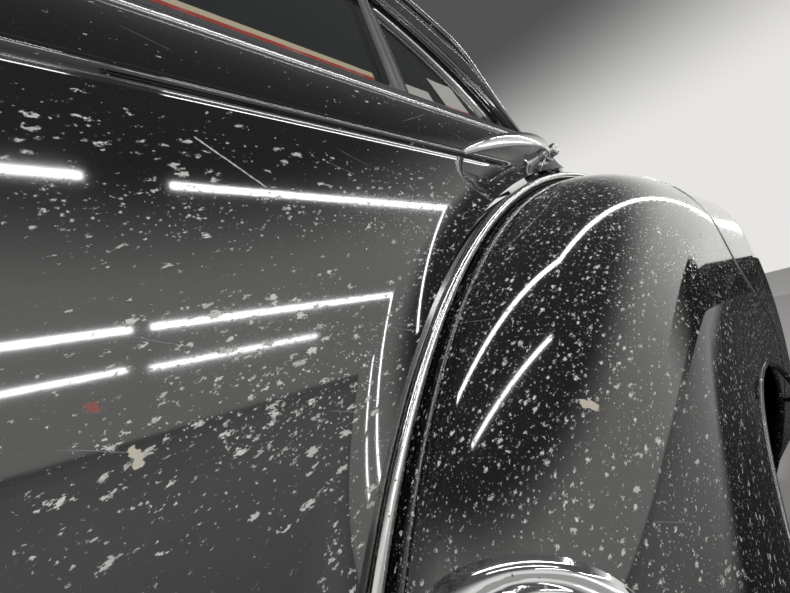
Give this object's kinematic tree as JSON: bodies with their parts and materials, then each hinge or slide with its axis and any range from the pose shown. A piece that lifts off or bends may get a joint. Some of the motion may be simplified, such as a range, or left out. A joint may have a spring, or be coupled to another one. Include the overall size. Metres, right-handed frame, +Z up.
{
  "type": "car rear body side section",
  "caption": "Left rear side of a black rounded sedan: a rear door hung in its opening, with a chrome pull handle, beside a bulging bolt-on fender with a bright bead.",
  "frame": {"origin": "middle of the two bolts on the sill's underside", "axes": "+X to the rear of the car, +Y inboard, +Z up"},
  "size_m": [1.867, 0.3383, 1.245],
  "materials": {
    "black_paint": "gloss, chipped",
    "chrome": "polished, lightly pitted",
    "rubber": "matt",
    "glass": "clear",
    "trim_paint": "satin",
    "trim_board": "matt",
    "bare_steel": "satin",
    "underseal": "rough",
    "red_lens": "clear red"
  },
  "bodies": {
    "body_side": {"sill": "black_paint", "scuff_plate": "bare_steel", "centre_post": "black_paint", "roof_rail": "black_paint", "lock_pillar": "black_paint", "side_plate": "black_paint", "wheelhouse": "underseal", "quarter_panel": "black_paint", "quarter_shelf": "black_paint", "rear_pillar": "black_paint", "fender_front": "black_paint", "fender_rear": "black_paint", "fender_welt": "rubber", "fender_bead": "chrome", "stone_guard": "chrome", "drip_moulding": "chrome", "striker": "bare_steel", "lamp_bezel": "chrome", "lamp_lens": "red_lens", "post_leaf_lower": "bare_steel", "post_leaf_upper": "bare_steel", "hinge_pin_lower": "bare_steel", "hinge_pin_upper": "bare_steel"},
    "door": {"door_shell": "black_paint", "sill_moulding": "chrome", "window_seal": "rubber", "division_bar": "chrome", "door_glass": "glass", "vent_frame": "chrome", "vent_glass": "glass", "garnish_moulding": "trim_paint", "door_card": "trim_board", "armrest": "trim_board", "window_crank": "chrome", "inner_lever": "chrome", "door_latch": "bare_steel", "handle_grip": "chrome", "handle_button": "chrome", "door_leaf_lower": "bare_steel", "door_leaf_upper": "bare_steel"}
  },
  "joints": [
    {"name": "door_hinge", "type": "hinge", "parent": "body_side", "child": "door", "pos_m": [-0.268, -0.062, 0.365], "axis": [0, 0, -1], "range_deg": [0, 65]}
  ]
}
